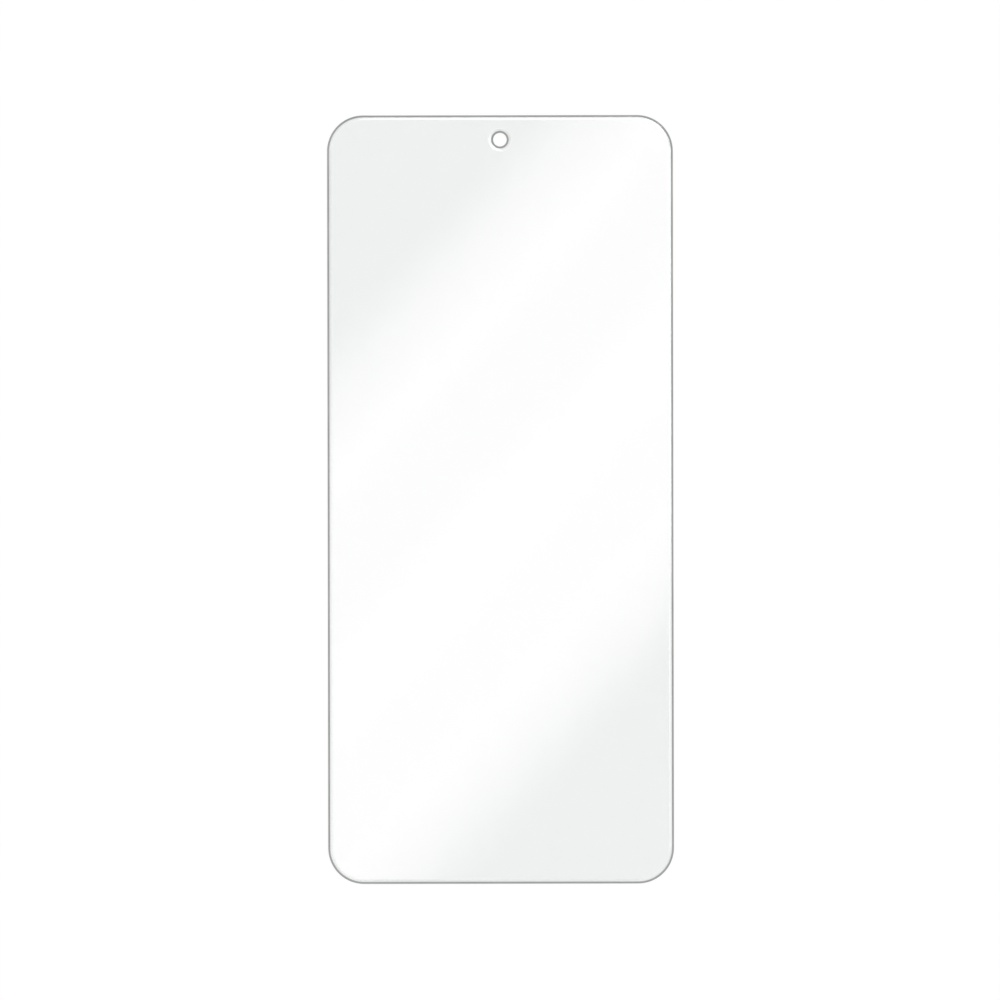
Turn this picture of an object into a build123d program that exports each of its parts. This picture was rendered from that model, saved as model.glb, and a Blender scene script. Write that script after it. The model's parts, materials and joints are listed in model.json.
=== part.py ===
"""Clear tempered-glass screen protector for a phone with a front camera in its display.

One flat sheet of glass, cut to the display's outline. The edge round the outline and round the camera
hole is ground to a long shallow arc on the outer face, so that a finger slides over it. A low upright
wall is left under the arc, and the sharp corner of the wall is eased on the underside.

The sheet lies on its underside. Origin: centre of the underside. +X across the phone, +Y towards the
camera's end, +Z out of the outer face. All sizes are in millimetres.
"""

from build123d import *

import os

# Outline of the sheet, as cut
GLASS_WIDTH = 69.5
GLASS_LENGTH = 154.5
GLASS_THICKNESS = 0.33
CORNER_RADIUS = 7.2

# Ground edge, the same round the outline and round the camera hole
EDGE_ARC_WIDTH = 1.0  # how far the arc reaches in over the outer face, which it meets without a step
EDGE_WALL = 0.08  # upright wall under the arc
EDGE_ARRIS = 0.04  # 45 degree easing of the wall's corner on the underside

# Hole for the front camera, on the centreline near the upper end
CAMERA_HOLE_DIAMETER = 2.75  # between the upright walls
CAMERA_HOLE_SETBACK = 4.9  # from the upper edge to the hole's centre

camera_hole_radius = CAMERA_HOLE_DIAMETER / 2
camera_hole_y = GLASS_LENGTH / 2 - CAMERA_HOLE_SETBACK
arc_foot = EDGE_ARRIS + EDGE_WALL  # height of the arc's lower end over the underside
wheel_clearance = GLASS_THICKNESS  # how far the grinding wheel's section stands clear of the glass


def sheet_outline():
    """The sheet's outline on the underside's plane."""
    return RectangleRounded(GLASS_WIDTH, GLASS_LENGTH, CORNER_RADIUS)


def cut_blank():
    """The blank: the outline cut from flat glass, with the camera hole drilled."""
    camera_hole = Pos(0, camera_hole_y) * Circle(camera_hole_radius)
    return extrude(sheet_outline() - camera_hole, GLASS_THICKNESS)


def ease_underside(glass):
    """Takes the sharp corner off every edge of the underside."""
    underside = glass.faces().sort_by(Axis.Z)[0]
    return chamfer(underside.edges(), EDGE_ARRIS)


def wheel_section():
    """The grinding wheel's section: X runs into the glass from the upright wall, Y up from the underside.

    Its lower side is the arc, which leaves the outer face level and falls to the top of the wall.
    """
    arc_end = (EDGE_ARC_WIDTH, GLASS_THICKNESS)
    wall_top = (0, arc_foot)
    outside = -wheel_clearance
    above = GLASS_THICKNESS + wheel_clearance
    arc = TangentArc(arc_end, wall_top, tangent=(-1, 0))
    rest = Polyline(wall_top, (outside, arc_foot), (outside, above), (EDGE_ARC_WIDTH, above), arc_end)
    return make_face([arc, rest])


def outline_grind():
    """What the wheel takes off as it runs round the outline."""
    path = sheet_outline().wire()
    inwards = Vector(0, 0, 1).cross(path % 0)
    start = Plane(origin=path @ 0, x_dir=inwards, z_dir=path % 0)
    return sweep(start * wheel_section(), path=path)


def camera_hole_grind():
    """What the wheel takes off as it runs round the camera hole."""
    hole_centre = Pos(0, camera_hole_y, 0)
    section = Plane.XZ * Pos(camera_hole_radius, 0) * wheel_section()
    return hole_centre * revolve(section, Axis.Z)


def glass_sheet():
    """The finished sheet of glass, one solid."""
    return ease_underside(cut_blank()) - outline_grind() - camera_hole_grind()


os.makedirs("parts", exist_ok=True)
export_step(glass_sheet(), "parts/glass_sheet.step")
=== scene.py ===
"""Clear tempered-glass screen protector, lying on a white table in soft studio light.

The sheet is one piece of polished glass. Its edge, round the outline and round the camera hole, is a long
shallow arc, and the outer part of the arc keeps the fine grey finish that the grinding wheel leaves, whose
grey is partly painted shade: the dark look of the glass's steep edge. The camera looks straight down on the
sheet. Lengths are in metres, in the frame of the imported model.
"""

import json
import math

import bmesh
import bpy
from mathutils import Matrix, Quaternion, Vector


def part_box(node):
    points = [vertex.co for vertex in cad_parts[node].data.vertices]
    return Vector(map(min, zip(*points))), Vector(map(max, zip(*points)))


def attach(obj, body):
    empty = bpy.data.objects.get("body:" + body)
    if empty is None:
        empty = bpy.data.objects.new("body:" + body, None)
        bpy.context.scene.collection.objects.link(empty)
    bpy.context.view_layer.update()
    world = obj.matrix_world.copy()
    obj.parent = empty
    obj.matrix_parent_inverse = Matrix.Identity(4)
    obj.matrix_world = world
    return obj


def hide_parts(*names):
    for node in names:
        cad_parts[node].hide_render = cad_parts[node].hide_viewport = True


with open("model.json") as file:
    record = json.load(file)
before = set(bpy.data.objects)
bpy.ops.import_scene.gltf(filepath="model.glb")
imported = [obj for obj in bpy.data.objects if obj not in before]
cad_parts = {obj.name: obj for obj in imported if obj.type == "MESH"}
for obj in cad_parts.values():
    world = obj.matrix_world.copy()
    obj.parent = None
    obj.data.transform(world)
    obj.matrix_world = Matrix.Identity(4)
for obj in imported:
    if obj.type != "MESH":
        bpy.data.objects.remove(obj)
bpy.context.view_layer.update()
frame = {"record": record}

MM = 0.001
PLAIN_WHITE = (1.0, 1.0, 1.0, 1.0)

# The sheet's section, as the wheel grinds it
CORNER_RADIUS = 7.2 * MM
EDGE_ARC_WIDTH = 1.0 * MM  # how far the arc reaches in over the outer face
EDGE_WALL = 0.08 * MM  # upright wall under the arc
EDGE_ARRIS = 0.04 * MM  # eased corner under the wall
GROUND_WIDTH = 0.39 * MM  # outer part of the arc, which is left unpolished
FLAT_MARGIN = 0.15 * MM  # strip of the flat face beside the arc, which keeps the face's shading level

# How finely the sheet is divided
CORNER_STEPS = 32
HOLE_STEPS = 96
GROUND_STEPS = 6
POLISHED_STEPS = 12
MERGE_DISTANCE = 0.001 * MM
SHARP_ANGLE = math.radians(30)

# Marks that the sheet's mesh carries for its finishes and for its painted shade
HAZE_AND_SHADE_MARK = "wheel_haze_and_painted_shade"
GROUND_MARK = "ground_finish"
GROUND_MARK_LIMIT = 0.5  # a face is ground where its mark is over this

# The polished glass: the cast of its body, the waves of a drawn sheet, and the patches of a wiped finish
GLASS_IOR = 1.5
CAST_COLOUR = (0.34, 0.592, 0.514, 1.0)
CAST_DENSITY = 252.0
WAVE_STRETCH = (1.0, 0.25, 1.0)  # the waves are four times as long along the sheet as across it
WAVE_SCALE = 90.0
WAVE_DETAIL = 2.0
WAVE_STRENGTH = 0.3
WAVE_DEPTH = 0.02 * MM
WIPE_SCALE = 260.0
WIPE_DETAIL = 4.0
WIPE_RANGE = (0.3, 0.7)
WIPE_ROUGHNESS = (0.01, 0.03)

# Beside the grey rim, a painted shade that darkens the glass's colour, and a rougher haze, both fading out
# towards the flat face
RIM_PAINTED_SHADE_COLOUR = (0.8, 0.805, 0.8, 1.0)
RIM_HAZE_ROUGHNESS = 0.05

# The grey rim: the wheel's fine grain, and a slow drift of its tone round the edge. Its grey is partly the
# ground finish and partly painted shade, the dark look of the glass's steep edge.
GRAIN_SCALE = 9000.0
GRAIN_DETAIL = 4.0
GRAIN_HARSHNESS = 0.6
GRAIN_SHARE = 0.6
GRAIN_STRENGTH = 0.3
GRAIN_DEPTH = 0.01 * MM
DRIFT_SCALE = 120.0
DRIFT_DETAIL = 2.0
DRIFT_SHARE = 0.4
RIM_TONE_RANGE = (0.3, 0.7)
RIM_DARK_GREY = (0.27, 0.275, 0.27, 1.0)
RIM_PALE_GREY = (0.39, 0.395, 0.39, 1.0)
RIM_ROUGHNESS = 0.75
RIM_SPECULAR = 0.15

# The camera
LENS_MM = 200.0
SENSOR_MM = 36.0
VIEW_WIDTH = 201.1 * MM  # what the frame takes in at the sheet
FRAME_PIXELS = 1000
SHEET_RIGHT_PIXELS = 0.52  # how far the sheet's middle stands from the frame's middle
SHEET_UP_PIXELS = 0.5
SHEET_TURN = math.radians(0.1)  # the sheet's left-hand turn in the frame
CLIP_START = 0.01
CLIP_END = 20.0

# The table and what surrounds it
TABLE_SIZE = 8.0
TABLE_GAP = 0.05 * MM  # air under the sheet
TABLE_COLOUR = (0.98, 0.98, 0.98, 1.0)
SHADOW_SHARE = 0.2  # how much of the white table shows the light that falls on it
SHADOW_REACH = (0.15, 0.6)  # where that share starts to fade, and where it has gone
ROOM_LIGHT = 0.75  # light on the table from all round, where 1 shows a colour as it is written
LAMP_LIGHT = 0.3  # light on the table from straight above, on the same scale
LAMP_HEIGHT = 3.2
LAMP_RADIUS = 1.0

# Softboxes and flags show in the glass. Their brightness is against a white room of 1, and their profiles are
# places on the panel with the share of it that is there, from none to whole.

# The strip overhead, whose reflection crosses the sheet: the places are those of its image on the sheet
STRIP_COLOUR = (1.0, 0.88, 0.918, 1.0)  # faintly pink, so that the band looks white over the glass's cast
STRIP_BRIGHTNESS = 3.04
STRIP_HEIGHT = 3.0
STRIP_TURN = math.radians(-42.5)
STRIP_PROFILE = [
    (-47.6 * MM, 0.0),
    (-39.0 * MM, 0.55),
    (-31.0 * MM, 0.85),
    (-27.0 * MM, 1.0),
    (-21.0 * MM, 0.83),
    (-7.0 * MM, 0.83),
    (-1.5 * MM, 1.0),
    (9.0 * MM, 1.0),
    (12.5 * MM, 0.9),
    (24.0 * MM, 0.9),
    (27.2 * MM, 1.0),
    (35.0 * MM, 0.75),
    (47.2 * MM, 0.0),
]

# Softboxes and black flags beyond the sheet's edges. Seen from above, they show in the ground arcs alone, and
# the lowest shows where two overlap. The bearing is from the sheet's middle. Across runs outwards from the
# edge's image in the panel, and along runs to the left of that.
EDGE_PANEL_END = 1.7  # how far the high panels reach across
EDGE_FLAG_BRIGHTNESS = 0.02
EDGE_FLAG_ACROSS = [(0.02, 0.0), (0.32, 1.0), (EDGE_PANEL_END, 1.0)]
EDGE_PANELS = [
    {
        "name": "right_light",
        "brightness": 3.1,
        "bearing": math.radians(0),
        "height": 2.9,
        "across": [(0.12, 0.0), (0.42, 1.0), (EDGE_PANEL_END, 1.0)],
        "along": [(-0.31, 1.0), (0.43, 1.0)],
    },
    {
        "name": "upper_right_light",
        "brightness": 6.6,
        "bearing": math.radians(0),
        "height": 2.88,
        "across": [(0.12, 0.0), (0.42, 0.4), (1.1, 1.0), (EDGE_PANEL_END, 1.0)],
        "along": [(-0.08, 0.0), (-0.01, 1.0), (0.43, 1.0)],
    },
    {
        "name": "corner_light",
        "brightness": 6.6,
        "bearing": math.radians(45),
        "height": 2.86,
        "across": [(0.03, 0.0), (0.15, 1.0), (EDGE_PANEL_END, 1.0)],
        "along": [(-0.3, 0.0), (-0.1, 1.0), (0.5, 1.0), (0.7, 0.0)],
    },
    {
        "name": "head_light",
        "brightness": 4.7,
        "bearing": math.radians(90),
        "height": 2.9,
        "across": [(0.16, 0.0), (0.46, 1.0), (EDGE_PANEL_END, 1.0)],
        "along": [(-1.83, 1.0), (0.13, 1.0)],
    },
    {
        "name": "left_flag",
        "brightness": EDGE_FLAG_BRIGHTNESS,
        "bearing": math.radians(180),
        "height": 2.9,
        "across": EDGE_FLAG_ACROSS,
        "along": [(-0.28, 1.0), (0.28, 1.0)],
    },
    {
        "name": "lower_left_light",
        "brightness": 2.4,
        "bearing": math.radians(180),
        "height": 0.15,
        "across": [(0.002, 0.0), (0.012, 1.0), (0.12, 1.0)],
        "along": [(-0.034, 0.0), (-0.0045, 1.0), (0.1, 1.0), (0.12, 0.0)],
    },
    {
        "name": "foot_flag",
        "brightness": EDGE_FLAG_BRIGHTNESS,
        "bearing": math.radians(270),
        "height": 2.9,
        "across": EDGE_FLAG_ACROSS,
        "along": [(-0.1, 1.0), (0.13, 1.0)],
    },
]

# Softboxes and grey flags on stands, which show in the sheet when it is seen from the side
STAND_LIGHT_DISTANCE = 2.0
STAND_FLAG_DISTANCE = 1.9
STAND_PANEL_LENGTH = 1.2
STAND_PANEL_ROLL = math.radians(40)
LIGHT_PROFILE = [(-0.16, 0.0), (-0.08, 1.0), (0.08, 1.0), (0.16, 0.0)]
FLAG_PROFILE = [  # two bands with a clear gap between them
    (-0.6, 0.0), (-0.5, 1.0), (-0.12, 1.0), (-0.04, 0.0),
    (0.04, 0.0), (0.12, 1.0), (0.5, 1.0), (0.6, 0.0),
]
STAND_PANELS = [  # name, bearing round the table, rise over it, distance, brightness, profile
    ("far_left_light", math.radians(135), math.radians(25), STAND_LIGHT_DISTANCE, 1.8, LIGHT_PROFILE),
    ("far_left_flag", math.radians(135), math.radians(25), STAND_FLAG_DISTANCE, 0.6, FLAG_PROFILE),
    ("near_right_light", math.radians(-45), math.radians(15), STAND_LIGHT_DISTANCE, 1.4, LIGHT_PROFILE),
    ("near_right_flag", math.radians(-45), math.radians(15), STAND_FLAG_DISTANCE, 0.75, FLAG_PROFILE),
    ("left_low_flag", math.radians(180), math.radians(3), STAND_FLAG_DISTANCE, 0.8, FLAG_PROFILE),
    ("far_low_flag", math.radians(90), math.radians(3), STAND_FLAG_DISTANCE, 0.8, FLAG_PROFILE),
]

sheet_low, sheet_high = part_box("glass_sheet")
glass_width, glass_length, glass_thickness = sheet_high - sheet_low
hole_mount = next(m for m in frame["record"]["mounts"] if m["name"] == "camera_hole")
hole_y = hole_mount["pos_m"][1]
hole_radius = hole_mount["dims"]["r_mm"] * MM

camera_height = VIEW_WIDTH * LENS_MM / SENSOR_MM


# Node trees

def add_node(tree, kind, inputs=None, **settings):
    """Adds a node, gives it its settings, and sets or links its inputs by name or number."""
    node = tree.nodes.new(kind)
    for name, value in settings.items():
        setattr(node, name, value)
    for key, value in (inputs or {}).items():
        socket = node.inputs[key]
        if isinstance(value, bpy.types.NodeSocket):
            tree.links.new(value, socket)
        else:
            socket.default_value = value
    return node


def maths(tree, operation, *values):
    """The result of one sum, from sockets or numbers."""
    return add_node(tree, "ShaderNodeMath", dict(enumerate(values)), operation=operation).outputs[0]


def vector(tree, x=0.0, y=0.0, z=0.0):
    """A vector from sockets or numbers."""
    return add_node(tree, "ShaderNodeCombineXYZ", {"X": x, "Y": y, "Z": z}).outputs["Vector"]


def new_material(name):
    """An empty node material and its tree."""
    material = bpy.data.materials.new(name)
    material.use_nodes = True
    material.node_tree.nodes.clear()
    return material, material.node_tree


def own_place(tree):
    """Where a point lies on its own object."""
    return add_node(tree, "ShaderNodeTexCoord").outputs["Object"]


def noise(tree, place, scale, detail, harshness=0.5):
    """Smooth noise about one half."""
    return add_node(
        tree, "ShaderNodeTexNoise",
        {"Vector": place, "Scale": scale, "Detail": detail, "Roughness": harshness},
    ).outputs["Fac"]


def raised(tree, height, strength, depth):
    """The normal of a surface that a height raises and lowers."""
    return add_node(
        tree, "ShaderNodeBump", {"Height": height, "Strength": strength, "Distance": depth},
    ).outputs["Normal"]


def blended_colour(tree, amount, first, last, reach=(0.0, 1.0)):
    """A colour that goes from the first to the last as the amount goes over its reach."""
    ramp = add_node(tree, "ShaderNodeValToRGB", {"Fac": amount})
    for element, position, colour in zip(ramp.color_ramp.elements, reach, (first, last)):
        element.position = position
        element.color = colour
    return ramp.outputs["Color"]


# Finishes of the glass

def polished_glass():
    """Clear glass with a faint grey-green cast, the slight waviness of a drawn sheet, and a painted shade
    beside the grey rim.
    """
    material, tree = new_material("polished_glass")
    place = own_place(tree)
    drawn = add_node(tree, "ShaderNodeMapping", {"Vector": place, "Scale": WAVE_STRETCH}).outputs["Vector"]
    wave = noise(tree, drawn, WAVE_SCALE, WAVE_DETAIL)
    wipe = noise(tree, place, WIPE_SCALE, WIPE_DETAIL)
    polish = add_node(
        tree, "ShaderNodeMapRange",
        {
            "Value": wipe,
            "From Min": WIPE_RANGE[0],
            "From Max": WIPE_RANGE[1],
            "To Min": WIPE_ROUGHNESS[0],
            "To Max": WIPE_ROUGHNESS[1],
        },
    ).outputs["Result"]
    haze_and_shade = add_node(tree, "ShaderNodeAttribute", attribute_name=HAZE_AND_SHADE_MARK).outputs["Fac"]
    glass = add_node(
        tree, "ShaderNodeBsdfPrincipled",
        {
            # Painted shade: the base colour darkens beside the grey rim and fades out towards the flat face
            "Base Color": blended_colour(tree, haze_and_shade, PLAIN_WHITE, RIM_PAINTED_SHADE_COLOUR),
            "Roughness": maths(tree, "MULTIPLY_ADD", haze_and_shade, RIM_HAZE_ROUGHNESS, polish),
            "IOR": GLASS_IOR,
            "Transmission Weight": 1.0,
            "Normal": raised(tree, wave, WAVE_STRENGTH, WAVE_DEPTH),
        },
    )
    cast = add_node(tree, "ShaderNodeVolumeAbsorption", {"Color": CAST_COLOUR, "Density": CAST_DENSITY})
    add_node(
        tree, "ShaderNodeOutputMaterial",
        {"Surface": glass.outputs["BSDF"], "Volume": cast.outputs["Volume"]},
    )
    return material


def ground_rim_and_painted_shade():
    """The finely grained finish that the grinding wheel leaves, in a grey that is partly painted shade."""
    material, tree = new_material("ground_rim_and_painted_shade")
    place = own_place(tree)
    grain = noise(tree, place, GRAIN_SCALE, GRAIN_DETAIL, GRAIN_HARSHNESS)
    drift = noise(tree, place, DRIFT_SCALE, DRIFT_DETAIL)
    tone = maths(
        tree, "ADD",
        maths(tree, "MULTIPLY", grain, GRAIN_SHARE), maths(tree, "MULTIPLY", drift, DRIFT_SHARE),
    )
    rim = add_node(
        tree, "ShaderNodeBsdfPrincipled",
        {
            # The grey is partly painted shade: the dark look that the steep edge of clear glass has
            "Base Color": blended_colour(tree, tone, RIM_DARK_GREY, RIM_PALE_GREY, RIM_TONE_RANGE),
            "Roughness": RIM_ROUGHNESS,
            "IOR": GLASS_IOR,
            "Specular IOR Level": RIM_SPECULAR,
            "Normal": raised(tree, grain, GRAIN_STRENGTH, GRAIN_DEPTH),
        },
    )
    add_node(tree, "ShaderNodeOutputMaterial", {"Surface": rim.outputs["BSDF"]})
    return material


# The sheet

def joined(tree, shapes):
    """Several shapes as one."""
    join = add_node(tree, "GeometryNodeJoinGeometry")
    for shape in shapes:
        tree.links.new(shape, join.inputs["Geometry"])
    return join.outputs["Geometry"]


def moved(tree, shape, offset):
    """A shape, shifted by a vector."""
    return add_node(
        tree, "GeometryNodeTransform", {"Geometry": shape, "Translation": offset},
    ).outputs["Geometry"]


def marked(tree, shape, mark, amount, domain):
    """A shape whose points or faces carry an amount under a mark's name."""
    return add_node(
        tree, "GeometryNodeStoreNamedAttribute",
        {"Geometry": shape, "Name": mark, "Value": amount},
        data_type="FLOAT", domain=domain,
    ).outputs["Geometry"]


def edge_curves(tree, size):
    """The outline and the camera hole, both turned so that their normals point out of the glass."""
    rectangle = add_node(
        tree, "GeometryNodeCurvePrimitiveQuadrilateral",
        {"Width": size["Width"], "Height": size["Length"]}, mode="RECTANGLE",
    )
    outline = add_node(
        tree, "GeometryNodeFilletCurve",
        {"Curve": rectangle.outputs["Curve"], "Radius": size["Corner Radius"], "Count": CORNER_STEPS},
        mode="POLY",
    )
    circle = add_node(
        tree, "GeometryNodeCurvePrimitiveCircle",
        {"Radius": size["Hole Radius"], "Resolution": HOLE_STEPS}, mode="RADIUS",
    )
    hole = moved(tree, circle.outputs["Curve"], vector(tree, y=size["Hole Y"]))
    hole_edge = add_node(tree, "GeometryNodeReverseCurve", {"Curve": hole})
    return joined(tree, [outline.outputs["Curve"], hole_edge.outputs["Curve"]])


def line_section(tree, start, end):
    """A straight stretch of the edge's section."""
    return add_node(tree, "GeometryNodeCurvePrimitiveLine", {"Start": start, "End": end}).outputs["Curve"]


def arc_section(tree, radius, centre, start_lean, end_lean, steps):
    """A stretch of the section's arc, between two leans of its radius from upright."""
    arc = add_node(
        tree, "GeometryNodeCurveArc",
        {
            "Resolution": steps + 1,
            "Radius": radius,
            "Start Angle": maths(tree, "ADD", start_lean, math.pi / 2),
            "Sweep Angle": maths(tree, "SUBTRACT", end_lean, start_lean),
        },
        mode="RADIUS",
    )
    return moved(tree, arc.outputs["Curve"], centre)


def edge_sections(tree, size, flat_inset):
    """The ground and the polished stretches of the edge's section, from the underside up.

    X runs into the glass from the wall, and Y up from the underside.
    """
    arc_foot = maths(tree, "ADD", size["Arris"], size["Wall"])
    drop = maths(tree, "SUBTRACT", size["Thickness"], arc_foot)
    squares = maths(
        tree, "ADD",
        maths(tree, "MULTIPLY", size["Arc Width"], size["Arc Width"]), maths(tree, "MULTIPLY", drop, drop),
    )
    radius = maths(tree, "DIVIDE", squares, maths(tree, "MULTIPLY", drop, 2.0))
    centre = vector(tree, x=size["Arc Width"], y=maths(tree, "SUBTRACT", size["Thickness"], radius))
    polished_width = maths(tree, "SUBTRACT", size["Arc Width"], size["Ground Width"])
    whole_lean = maths(tree, "ARCSINE", maths(tree, "DIVIDE", size["Arc Width"], radius))
    polished_lean = maths(tree, "ARCSINE", maths(tree, "DIVIDE", polished_width, radius))

    wall_foot = vector(tree, y=size["Arris"])
    ground_arc = arc_section(tree, radius, centre, whole_lean, polished_lean, GROUND_STEPS)
    ground = [
        line_section(tree, vector(tree, x=size["Arris"]), wall_foot),
        line_section(tree, wall_foot, vector(tree, y=arc_foot)),
        # The ground arc carries the whole mark, for the painted shade and the haze
        marked(tree, ground_arc, HAZE_AND_SHADE_MARK, 1.0, "POINT"),
    ]

    # Across the polished arc, the mark for the painted shade and the haze fades out towards the flat face
    along_arc = add_node(tree, "GeometryNodeSplineParameter").outputs["Factor"]
    fading = maths(tree, "SUBTRACT", 1.0, along_arc)
    polished_arc = arc_section(tree, radius, centre, polished_lean, 0.0, POLISHED_STEPS)
    arc_end = vector(tree, x=size["Arc Width"], y=size["Thickness"])
    polished = [
        marked(tree, polished_arc, HAZE_AND_SHADE_MARK, fading, "POINT"),
        line_section(tree, arc_end, vector(tree, x=flat_inset, y=size["Thickness"])),
    ]
    return ground, polished


def run_along(tree, edges, section):
    """The strip that a section makes as it runs round the outline and the hole.

    The section is turned about first, because its X runs into the glass and the edges' normals point out.
    """
    turned = add_node(
        tree, "GeometryNodeTransform", {"Geometry": section, "Rotation": (0.0, 0.0, math.pi)},
    )
    return add_node(
        tree, "GeometryNodeCurveToMesh",
        {"Curve": edges, "Profile Curve": turned.outputs["Geometry"]},
    ).outputs["Mesh"]


def flat_face(tree, edges, inset, height):
    """The outline, less the hole, filled at an inset from the wall and a height over the underside."""
    out_of_glass = add_node(tree, "GeometryNodeInputNormal").outputs["Normal"]
    offset = add_node(
        tree, "ShaderNodeVectorMath",
        {0: out_of_glass, "Scale": maths(tree, "MULTIPLY", inset, -1.0)}, operation="SCALE",
    )
    border = add_node(
        tree, "GeometryNodeSetPosition", {"Geometry": edges, "Offset": offset.outputs["Vector"]},
    )
    face = add_node(tree, "GeometryNodeFillCurve", {"Curve": border.outputs["Geometry"]}, mode="TRIANGLES")
    level = add_node(
        tree, "GeometryNodeSetShadeSmooth", {"Geometry": face.outputs["Mesh"], "Shade Smooth": False},
    )
    return moved(tree, level.outputs["Geometry"], vector(tree, z=height))


def sheet_tree(size_names, polished, ground):
    """Geometry nodes that run the edge's section round the outline and the hole, and fill both faces."""
    tree = bpy.data.node_groups.new("ground_glass_sheet", "GeometryNodeTree")
    for name in size_names:
        tree.interface.new_socket(name, in_out="INPUT", socket_type="NodeSocketFloat")
    tree.interface.new_socket("Sheet", in_out="OUTPUT", socket_type="NodeSocketGeometry")
    size = add_node(tree, "NodeGroupInput").outputs

    edges = edge_curves(tree, size)
    flat_inset = maths(tree, "ADD", size["Arc Width"], size["Flat Margin"])
    ground_sections, polished_sections = edge_sections(tree, size, flat_inset)
    shapes = []
    for section in ground_sections:
        shapes.append(marked(tree, run_along(tree, edges, section), GROUND_MARK, 1.0, "FACE"))
    for section in polished_sections:
        shapes.append(run_along(tree, edges, section))
    shapes.append(flat_face(tree, edges, flat_inset, size["Thickness"]))
    shapes.append(flat_face(tree, edges, size["Arris"], 0.0))

    closed = add_node(
        tree, "GeometryNodeMergeByDistance",
        {"Geometry": joined(tree, shapes), "Distance": MERGE_DISTANCE},
    )
    real = add_node(tree, "GeometryNodeRealizeInstances", {"Geometry": closed.outputs["Geometry"]})
    clear = add_node(
        tree, "GeometryNodeSetMaterial", {"Geometry": real.outputs["Geometry"], "Material": polished},
    )
    finish = add_node(tree, "GeometryNodeInputNamedAttribute", {"Name": GROUND_MARK}, data_type="FLOAT")
    rimmed = add_node(
        tree, "GeometryNodeSetMaterial",
        {
            "Geometry": clear.outputs["Geometry"],
            "Selection": maths(tree, "GREATER_THAN", finish.outputs["Attribute"], GROUND_MARK_LIMIT),
            "Material": ground,
        },
    )
    add_node(tree, "NodeGroupOutput", {"Sheet": rimmed.outputs["Geometry"]})
    return tree


def clear_glass_sheet():
    """The sheet as one closed mesh, which stands for the solid."""
    sizes = {
        "Width": glass_width,
        "Length": glass_length,
        "Thickness": glass_thickness,
        "Corner Radius": CORNER_RADIUS,
        "Hole Radius": hole_radius,
        "Hole Y": hole_y,
        "Arc Width": EDGE_ARC_WIDTH,
        "Ground Width": GROUND_WIDTH,
        "Wall": EDGE_WALL,
        "Arris": EDGE_ARRIS,
        "Flat Margin": FLAT_MARGIN,
    }
    tree = sheet_tree(list(sizes), polished_glass(), ground_rim_and_painted_shade())
    blank = bpy.data.objects.new("sheet_blank", bpy.data.meshes.new("sheet_blank"))
    bpy.context.scene.collection.objects.link(blank)
    modifier = blank.modifiers.new("grind", "NODES")
    modifier.node_group = tree
    for socket in tree.interface.items_tree:
        if socket.in_out == "INPUT":
            modifier[socket.identifier] = sizes[socket.name]
    shaped = blank.evaluated_get(bpy.context.evaluated_depsgraph_get())
    mesh = bpy.data.meshes.new_from_object(shaped)
    bpy.data.objects.remove(blank)

    work = bmesh.new()
    work.from_mesh(mesh)
    bmesh.ops.recalc_face_normals(work, faces=work.faces)
    work.to_mesh(mesh)
    work.free()
    mesh.set_sharp_from_angle(angle=SHARP_ANGLE)
    mesh.name = "clear_glass"
    sheet = bpy.data.objects.new("clear_glass", mesh)
    bpy.context.scene.collection.objects.link(sheet)
    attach(sheet, "root")
    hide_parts("glass_sheet")


# The table, the room and the lights

def seen_as_white(tree):
    """1 for what the camera sees, itself or by way of the glass, and 0 for light that falls on things."""
    path = add_node(tree, "ShaderNodeLightPath").outputs
    direct = maths(tree, "MAXIMUM", path["Is Camera Ray"], path["Is Glossy Ray"])
    return maths(tree, "MAXIMUM", direct, path["Is Transmission Ray"])


def stage_panel(name, material, low, high):
    """A flat panel that belongs to the studio and not to the object, from its lowest and highest X and Y."""
    corners = [(low[0], low[1], 0.0), (high[0], low[1], 0.0), (high[0], high[1], 0.0), (low[0], high[1], 0.0)]
    mesh = bpy.data.meshes.new(name)
    mesh.from_pydata(corners, [], [(0, 1, 2, 3)])
    mesh.materials.append(material)
    panel = bpy.data.objects.new(name, mesh)
    bpy.context.scene.collection.objects.link(panel)
    return panel


def white_table():
    """A white table that keeps the sheet's soft shadow near it."""
    material, tree = new_material("white_table")
    distance = add_node(tree, "ShaderNodeVectorMath", {0: own_place(tree)}, operation="LENGTH")
    near, far = SHADOW_REACH
    plain = add_node(
        tree, "ShaderNodeMapRange",
        {
            "Value": distance.outputs["Value"],
            "From Min": near,
            "From Max": far,
            "To Min": 1 - SHADOW_SHARE,
            "To Max": 1.0,
        },
        interpolation_type="SMOOTHSTEP",
    )
    lit = add_node(tree, "ShaderNodeBsdfDiffuse", {"Color": TABLE_COLOUR})
    white = add_node(tree, "ShaderNodeEmission", {"Color": PLAIN_WHITE, "Strength": 1.0})
    surface = add_node(
        tree, "ShaderNodeMixShader",
        {
            "Fac": maths(tree, "MULTIPLY", seen_as_white(tree), plain.outputs["Result"]),
            1: lit.outputs["BSDF"],
            2: white.outputs["Emission"],
        },
    )
    add_node(tree, "ShaderNodeOutputMaterial", {"Surface": surface.outputs["Shader"]})
    reach = TABLE_SIZE / 2
    table = stage_panel("table", material, (-reach, -reach), (reach, reach))
    table.location.z = -TABLE_GAP


def white_room():
    """A room that looks white and lights the table softly from all round."""
    world = bpy.data.worlds.new("white_room")
    bpy.context.scene.world = world
    world.use_nodes = True
    tree = world.node_tree
    tree.nodes.clear()
    light = add_node(tree, "ShaderNodeBackground", {"Color": PLAIN_WHITE, "Strength": ROOM_LIGHT})
    white = add_node(tree, "ShaderNodeBackground", {"Color": PLAIN_WHITE, "Strength": 1.0})
    both = add_node(
        tree, "ShaderNodeMixShader",
        {"Fac": seen_as_white(tree), 1: light.outputs["Background"], 2: white.outputs["Background"]},
    )
    add_node(tree, "ShaderNodeOutputWorld", {"Surface": both.outputs["Shader"]})


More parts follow.
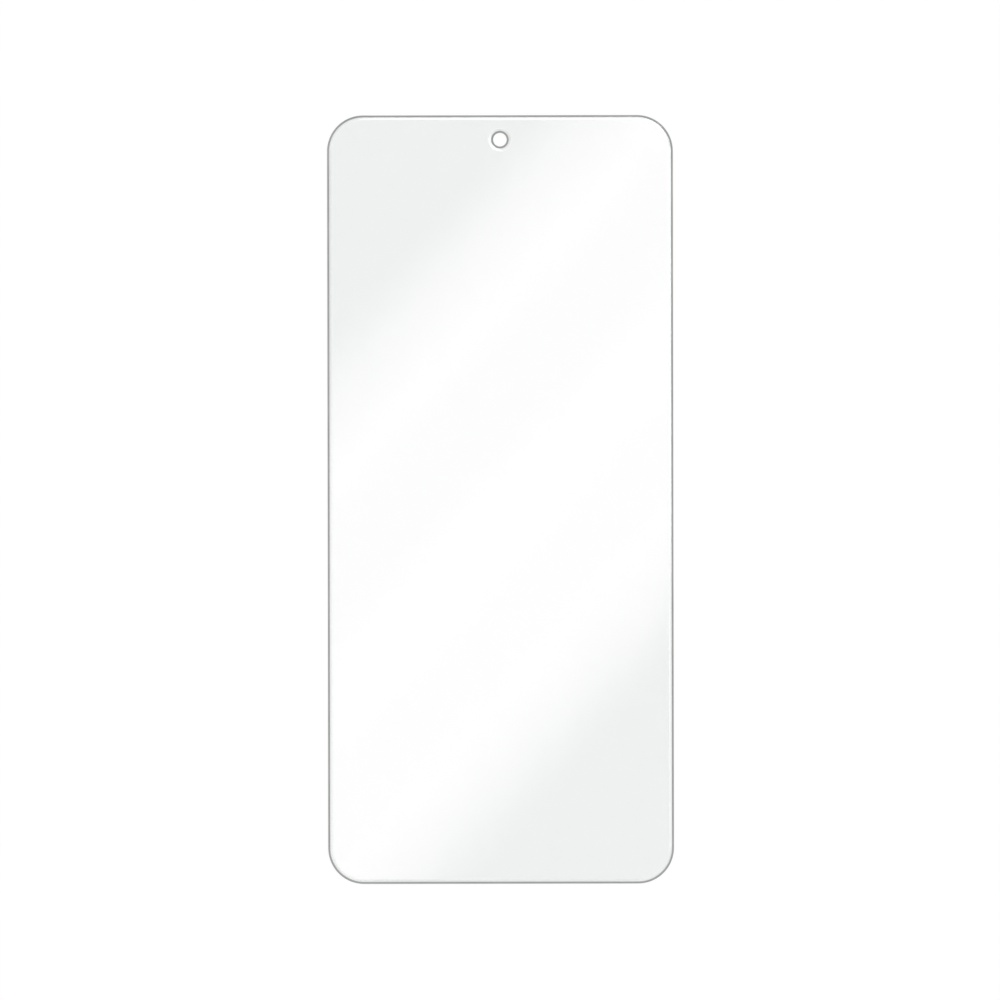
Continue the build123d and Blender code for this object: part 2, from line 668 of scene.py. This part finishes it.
def overhead_lamp():
    """A large soft lamp straight over the table, which lights the ground rim and shows in no reflection."""
    data = bpy.data.lights.new("overhead_lamp", "AREA")
    data.shape = "DISK"
    data.size = 2 * LAMP_RADIUS
    # The table under a disk gets its power over pi times the square of the way to the disk's rim
    data.energy = LAMP_LIGHT * math.pi ** 2 * (LAMP_RADIUS ** 2 + LAMP_HEIGHT ** 2)
    lamp = bpy.data.objects.new("overhead_lamp", data)
    lamp.location.z = LAMP_HEIGHT
    lamp.visible_glossy = False
    lamp.visible_transmission = False
    bpy.context.scene.collection.objects.link(lamp)


def share_at(tree, place, profile):
    """The share of a panel that its profile gives at a place."""
    start, end = profile[0][0], profile[-1][0]
    way = add_node(tree, "ShaderNodeMapRange", {"Value": place, "From Min": start, "From Max": end})
    ramp = add_node(tree, "ShaderNodeValToRGB", {"Fac": way.outputs["Result"]})
    elements = ramp.color_ramp.elements
    for position, _ in profile[1:-1]:
        elements.new((position - start) / (end - start))
    for element, (_, share) in zip(elements, profile):
        element.color = (share, share, share, 1.0)
    return ramp.outputs["Color"]


def softbox_material(name, brightness, across, along, colour):
    """An even glow that thins out to nothing by the panel's profiles across, on X, and along, on Y."""
    material, tree = new_material(name)
    axes = add_node(tree, "ShaderNodeSeparateXYZ", {"Vector": own_place(tree)}).outputs
    share = maths(tree, "MULTIPLY", share_at(tree, axes["X"], across), share_at(tree, axes["Y"], along))
    clear = add_node(tree, "ShaderNodeBsdfTransparent")
    glow = add_node(tree, "ShaderNodeEmission", {"Color": colour, "Strength": brightness})
    mixed = add_node(
        tree, "ShaderNodeMixShader",
        {"Fac": share, 1: clear.outputs["BSDF"], 2: glow.outputs["Emission"]},
    )
    add_node(tree, "ShaderNodeOutputMaterial", {"Surface": mixed.outputs["Shader"]})
    material.cycles.emission_sampling = "NONE"
    return material


def softbox(name, brightness, across, along, place, turn, colour=PLAIN_WHITE):
    """A flat softbox, or a flag, that shows only in the glass."""
    material = softbox_material(name, brightness, across, along, colour)
    panel = stage_panel(name, material, (across[0][0], along[0][0]), (across[-1][0], along[-1][0]))
    panel.location = place
    panel.rotation_euler = turn
    panel.visible_camera = False
    panel.visible_shadow = False
    panel.visible_diffuse = False
    return panel


def image_spread(height):
    """How much larger a panel at a height is than its image in the sheet."""
    return 1 + height / camera_height


def overhead_strip():
    """The long softbox whose reflection crosses the sheet from corner to corner."""
    spread = image_spread(STRIP_HEIGHT)
    across = [(place * spread, share) for place, share in STRIP_PROFILE]
    reach = math.hypot(glass_width, glass_length) / 2 * spread
    along = [(-reach, 1.0), (reach, 1.0)]
    place = (0.0, 0.0, STRIP_HEIGHT)
    turn = (0.0, 0.0, STRIP_TURN)
    softbox("strip_light", STRIP_BRIGHTNESS, across, along, place, turn, STRIP_COLOUR)


def edge_panels():
    """Softboxes and flags beyond the sheet's edges, which light and shade the arcs by reflection alone."""
    corner_x = glass_width / 2 - CORNER_RADIUS
    corner_y = glass_length / 2 - CORNER_RADIUS
    for panel in EDGE_PANELS:
        bearing = panel["bearing"]
        height = panel["height"]
        edge = corner_x * abs(math.cos(bearing)) + corner_y * abs(math.sin(bearing)) + CORNER_RADIUS
        image_edge = edge * image_spread(height)
        across = [(image_edge + place, share) for place, share in panel["across"]]
        place = (0.0, 0.0, height)
        turn = (0.0, 0.0, bearing)
        box = softbox(panel["name"], panel["brightness"], across, panel["along"], place, turn)
        box.visible_transmission = False


def stand_panels():
    """Leaning panels round the table, which cross the sheet's reflection when it is seen from the side."""
    reach = STAND_PANEL_LENGTH / 2
    along = [(-reach, 1.0), (reach, 1.0)]
    for name, bearing, rise, distance, brightness, profile in STAND_PANELS:
        level = math.cos(rise)
        direction = Vector((level * math.cos(bearing), level * math.sin(bearing), math.sin(rise)))
        facing = direction.to_track_quat("Z", "Y")
        turn = (facing @ Quaternion((0.0, 0.0, 1.0), STAND_PANEL_ROLL)).to_euler()
        softbox(name, brightness, profile, along, direction * distance, turn)


def camera_above():
    """The camera, straight over the sheet, with its top towards the camera hole."""
    pixel = VIEW_WIDTH / FRAME_PIXELS
    data = bpy.data.cameras.new("camera_above")
    data.lens = LENS_MM
    data.sensor_width = SENSOR_MM
    data.clip_start = CLIP_START
    data.clip_end = CLIP_END
    camera = bpy.data.objects.new("camera_above", data)
    camera.location = (-SHEET_RIGHT_PIXELS * pixel, -SHEET_UP_PIXELS * pixel, camera_height)
    camera.rotation_euler = (0.0, 0.0, -SHEET_TURN)
    bpy.context.scene.collection.objects.link(camera)
    bpy.context.scene.camera = camera


bpy.context.scene.view_settings.view_transform = "Standard"
camera_above()
clear_glass_sheet()
white_table()
white_room()
overhead_lamp()
overhead_strip()
edge_panels()
stand_panels()
